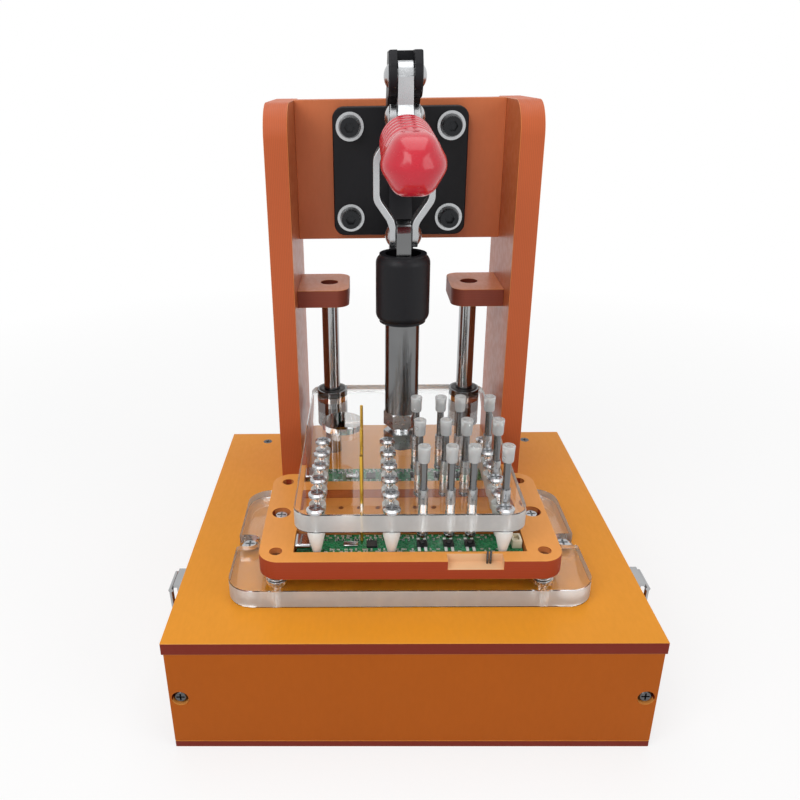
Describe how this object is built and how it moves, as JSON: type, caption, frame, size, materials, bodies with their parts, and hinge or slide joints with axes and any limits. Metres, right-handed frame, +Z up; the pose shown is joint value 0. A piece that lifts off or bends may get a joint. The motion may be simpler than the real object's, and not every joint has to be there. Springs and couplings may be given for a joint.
{
  "type": "pcb test fixture",
  "caption": "Manual press jig for testing small circuit boards: a toggle clamp lowers a clear press plate with push pins onto a sprung board carrier above a hinged box.",
  "frame": {"origin": "middle of the underside of the box, on the table", "axes": "+X to the right, +Y to the back, +Z up"},
  "size_m": [0.1956, 0.1734, 0.2432],
  "materials": {
    "laminate": "glossy laminate sheet",
    "laminate_tower": "glossy laminate sheet with sawn edges",
    "screws": "zinc plated",
    "plated_steel": "zinc plated",
    "chromed_rod": "hard chromed",
    "black_casting": "satin black",
    "clear_acrylic": "polished clear sheet with frosted edges",
    "spring_steel": "bright wire",
    "gold_probe": "gold plated",
    "red_grip": "glossy dipped vinyl",
    "white_pin": "turned white plastic",
    "button_plunger": "translucent cap on a steel rod",
    "board_green": "solder mask",
    "board_parts": "moulded parts"
  },
  "bodies": {
    "base_box": {"bottom_plate": "laminate", "front_panel": "laminate", "rear_panel": "laminate", "left_panel": "laminate", "right_panel": "laminate", "panel_screws": "screws", "latch_bases": "plated_steel", "hinge_base_leaves": "plated_steel"},
    "lid": {"top_plate": "laminate", "hinge_lid_leaves": "plated_steel", "hinge_screws": "screws", "latch_keepers": "plated_steel", "upright_left": "laminate_tower", "upright_right": "laminate_tower", "cross_plate": "laminate", "tower_screws": "screws", "rod_brackets": "laminate_tower", "guide_rods": "chromed_rod", "clamp_body": "black_casting", "clamp_screws": "screws", "clamp_pivot": "plated_steel", "needle_plate": "clear_acrylic", "needle_plate_screws": "screws", "carrier_guides": "chromed_rod", "carrier_retainers": "screws", "carrier_springs": "spring_steel", "needle_probes": "gold_probe"},
    "handle": {"handle_plate": "plated_steel", "handle_grip": "red_grip", "link_pivot": "plated_steel"},
    "links": {"link_left": "plated_steel", "link_right": "plated_steel", "plunger_rivets": "plated_steel"},
    "press": {"plunger": "chromed_rod", "plunger_nuts": "plated_steel", "press_plate": "clear_acrylic", "linear_bearings": "chromed_rod", "push_pins": "white_pin", "push_pin_screws": "screws", "button_sleeves": "chromed_rod", "long_probes": "gold_probe"},
    "carrier": {"carrier_plate": "laminate", "boards": "board_green", "board_components": "board_parts"},
    "left_latch_lever": {"latch_lever_left": "plated_steel"},
    "right_latch_lever": {"latch_lever_right": "plated_steel"},
    "left_latch_bail": {"latch_bail_left": "plated_steel"},
    "right_latch_bail": {"latch_bail_right": "plated_steel"},
    "button_1": {"button_1": "button_plunger"},
    "button_2": {"button_2": "button_plunger"},
    "button_3": {"button_3": "button_plunger"},
    "button_4": {"button_4": "button_plunger"},
    "button_5": {"button_5": "button_plunger"},
    "button_6": {"button_6": "button_plunger"},
    "button_7": {"button_7": "button_plunger"},
    "button_8": {"button_8": "button_plunger"},
    "button_9": {"button_9": "button_plunger"},
    "button_10": {"button_10": "button_plunger"},
    "button_11": {"button_11": "button_plunger"},
    "button_12": {"button_12": "button_plunger"}
  },
  "joints": [
    {"name": "lid_hinge", "type": "hinge", "parent": "base_box", "child": "lid", "pos_m": [0, 0.08685, 0.0444], "axis": [-1, 0, 0], "range_deg": [0, 70]},
    {"name": "clamp_handle", "type": "hinge", "parent": "lid", "child": "handle", "pos_m": [0, 0.02, 0.234], "axis": [-1, 0, 0], "range_deg": [0, 95]},
    {"name": "link_swing", "type": "hinge", "parent": "handle", "child": "links", "pos_m": [0, 0.02, 0.219], "axis": [-1, 0, 0], "range_deg": [-115, 0]},
    {"name": "press_slide", "type": "slide", "parent": "lid", "child": "press", "axis": [0, 0, 1], "range_m": [0, 0.0188]},
    {"name": "carrier_float", "type": "slide", "parent": "lid", "child": "carrier", "axis": [0, 0, -1], "range_m": [0, 0.003], "stiffness_N_per_m": 4000, "springref_m": -0.003, "deforming": ["carrier_springs"]},
    {"name": "left_latch_lever_hinge", "type": "hinge", "parent": "base_box", "child": "left_latch_lever", "pos_m": [-0.0934, -0.045, 0.028], "axis": [0, 1, 0], "range_deg": [0, 90]},
    {"name": "right_latch_lever_hinge", "type": "hinge", "parent": "base_box", "child": "right_latch_lever", "pos_m": [0.0934, -0.045, 0.028], "axis": [0, -1, 0], "range_deg": [0, 90]},
    {"name": "left_latch_bail_hinge", "type": "hinge", "parent": "base_box", "child": "left_latch_bail", "pos_m": [-0.0934, -0.045, 0.028], "axis": [0, -1, 0], "range_deg": [0, 25]},
    {"name": "right_latch_bail_hinge", "type": "hinge", "parent": "base_box", "child": "right_latch_bail", "pos_m": [0.0934, -0.045, 0.028], "axis": [0, 1, 0], "range_deg": [0, 25]},
    {"name": "button_1_push", "type": "slide", "parent": "press", "child": "button_1", "axis": [0, 0, -1], "range_m": [0, 0.002], "stiffness_N_per_m": 250, "springref_m": -0.003},
    {"name": "button_2_push", "type": "slide", "parent": "press", "child": "button_2", "axis": [0, 0, -1], "range_m": [0, 0.002], "stiffness_N_per_m": 250, "springref_m": -0.003},
    {"name": "button_3_push", "type": "slide", "parent": "press", "child": "button_3", "axis": [0, 0, -1], "range_m": [0, 0.002], "stiffness_N_per_m": 250, "springref_m": -0.003},
    {"name": "button_4_push", "type": "slide", "parent": "press", "child": "button_4", "axis": [0, 0, -1], "range_m": [0, 0.002], "stiffness_N_per_m": 250, "springref_m": -0.003},
    {"name": "button_5_push", "type": "slide", "parent": "press", "child": "button_5", "axis": [0, 0, -1], "range_m": [0, 0.002], "stiffness_N_per_m": 250, "springref_m": -0.003},
    {"name": "button_6_push", "type": "slide", "parent": "press", "child": "button_6", "axis": [0, 0, -1], "range_m": [0, 0.002], "stiffness_N_per_m": 250, "springref_m": -0.003},
    {"name": "button_7_push", "type": "slide", "parent": "press", "child": "button_7", "axis": [0, 0, -1], "range_m": [0, 0.002], "stiffness_N_per_m": 250, "springref_m": -0.003},
    {"name": "button_8_push", "type": "slide", "parent": "press", "child": "button_8", "axis": [0, 0, -1], "range_m": [0, 0.002], "stiffness_N_per_m": 250, "springref_m": -0.003},
    {"name": "button_9_push", "type": "slide", "parent": "press", "child": "button_9", "axis": [0, 0, -1], "range_m": [0, 0.002], "stiffness_N_per_m": 250, "springref_m": -0.003},
    {"name": "button_10_push", "type": "slide", "parent": "press", "child": "button_10", "axis": [0, 0, -1], "range_m": [0, 0.002], "stiffness_N_per_m": 250, "springref_m": -0.003},
    {"name": "button_11_push", "type": "slide", "parent": "press", "child": "button_11", "axis": [0, 0, -1], "range_m": [0, 0.002], "stiffness_N_per_m": 250, "springref_m": -0.003},
    {"name": "button_12_push", "type": "slide", "parent": "press", "child": "button_12", "axis": [0, 0, -1], "range_m": [0, 0.002], "stiffness_N_per_m": 250, "springref_m": -0.003}
  ],
  "couplings": [
    {"joint": "clamp_handle", "follows": "press_slide", "rad_per_m": 88.185},
    {"joint": "link_swing", "follows": "press_slide", "rad_per_m": -105.78}
  ]
}
